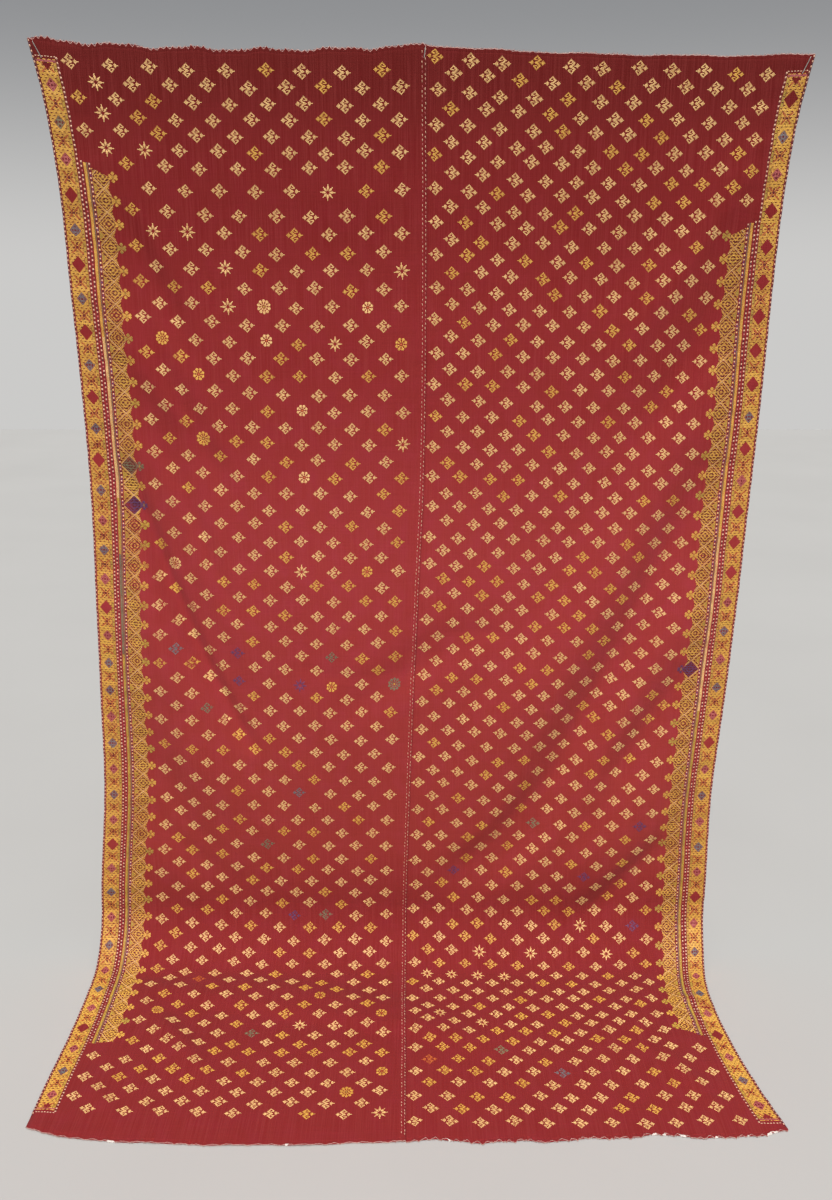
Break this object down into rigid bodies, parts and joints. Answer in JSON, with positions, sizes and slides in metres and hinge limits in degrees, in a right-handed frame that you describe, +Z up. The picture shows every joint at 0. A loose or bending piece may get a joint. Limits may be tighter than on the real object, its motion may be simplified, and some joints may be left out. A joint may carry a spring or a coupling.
{
  "type": "embroidered odhani shawl on wire pins",
  "caption": "Long embroidered cotton shawl of joined loom widths, hung by its top edge on bent wire pins with its lower end lying out on the floor.",
  "frame": {"origin": "on the axis of the centre pin, at the back face of the cloth, where the pin goes through the seam near the top edge", "axes": "+X to the right along the top edge seen from the embroidered front, +Y out of the back of the cloth towards the wall, +Z up"},
  "size_m": [1.4541, 0.6204, 1.9135],
  "materials": {
    "cloth": "matte handwoven cotton",
    "silk": "soft sheen of untwisted silk thread",
    "thread": "matte cotton thread",
    "pin_wire": "bright drawn wire"
  },
  "bodies": {
    "root": {"left_panel": "cloth", "right_panel": "cloth", "pin_left": "pin_wire", "pin_centre": "pin_wire", "pin_right": "pin_wire"}
  },
  "joints": []
}
